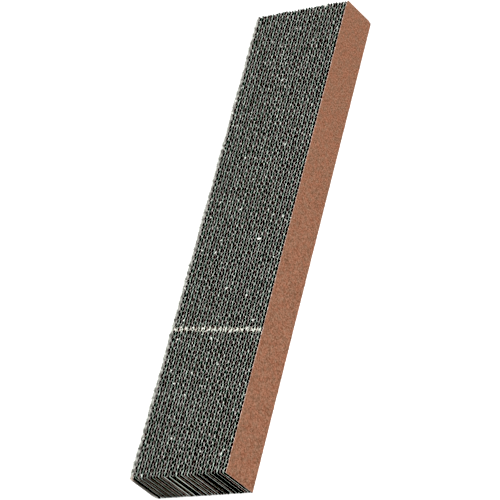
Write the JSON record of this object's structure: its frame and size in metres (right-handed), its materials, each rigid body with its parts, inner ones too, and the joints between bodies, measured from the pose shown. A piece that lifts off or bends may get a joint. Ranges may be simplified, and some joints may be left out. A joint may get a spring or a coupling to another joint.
{
  "type": "laminated corrugated cardboard pad",
  "caption": "Long rectangular block of corrugated cardboard strips glued together on edge, with open flutes on its broad faces and a flat brown kraft side.",
  "frame": {"origin": "under the middle of the block, on the open-flute face it rests on", "axes": "+Y along the length, +X across the strips towards the closed kraft side, +Z along the flutes"},
  "size_m": [0.1032, 0.47, 0.0385],
  "materials": {
    "kraft_liner": "matte",
    "white_liner": "matte",
    "fluted_medium": "matte"
  },
  "bodies": {
    "root": {"c_flute_medium_01": "fluted_medium", "kraft_liner_01": "kraft_liner", "b_flute_medium_01": "fluted_medium", "white_liner_01": "white_liner", "c_flute_medium_02": "fluted_medium", "kraft_liner_02": "kraft_liner", "b_flute_medium_02": "fluted_medium", "white_liner_02": "white_liner", "c_flute_medium_03": "fluted_medium", "kraft_liner_03": "kraft_liner", "b_flute_medium_03": "fluted_medium", "white_liner_03": "white_liner", "c_flute_medium_04": "fluted_medium", "kraft_liner_04": "kraft_liner", "b_flute_medium_04": "fluted_medium", "white_liner_04": "white_liner", "c_flute_medium_05": "fluted_medium", "kraft_liner_05": "kraft_liner", "b_flute_medium_05": "fluted_medium", "white_liner_05": "white_liner", "c_flute_medium_06": "fluted_medium", "kraft_liner_06": "kraft_liner", "b_flute_web_06": "white_liner", "c_flute_medium_07": "fluted_medium", "kraft_liner_07": "kraft_liner", "b_flute_web_07": "white_liner", "c_flute_medium_08": "fluted_medium", "kraft_liner_08": "kraft_liner", "b_flute_web_08": "white_liner", "c_flute_medium_09": "fluted_medium", "kraft_liner_09": "kraft_liner", "b_flute_web_09": "white_liner", "c_flute_medium_10": "fluted_medium", "kraft_liner_10": "kraft_liner", "b_flute_web_10": "white_liner", "c_flute_medium_11": "fluted_medium", "kraft_liner_11": "kraft_liner", "b_flute_web_11": "white_liner", "c_flute_medium_12": "fluted_medium", "kraft_liner_12": "kraft_liner", "b_flute_medium_12": "fluted_medium", "white_liner_12": "white_liner", "c_flute_medium_13": "fluted_medium", "kraft_liner_13": "kraft_liner", "b_flute_medium_13": "fluted_medium", "white_liner_13": "white_liner", "c_flute_medium_14": "fluted_medium", "kraft_liner_14": "kraft_liner", "b_flute_medium_14": "fluted_medium", "white_liner_14": "white_liner", "c_flute_medium_15": "fluted_medium", "kraft_liner_15": "kraft_liner", "b_flute_medium_15": "fluted_medium", "white_liner_15": "white_liner", "c_flute_medium_16": "fluted_medium", "kraft_liner_16": "kraft_liner", "b_flute_medium_16": "fluted_medium", "white_liner_16": "white_liner", "c_flute_medium_17": "fluted_medium", "kraft_liner_17": "kraft_liner"}
  },
  "joints": []
}
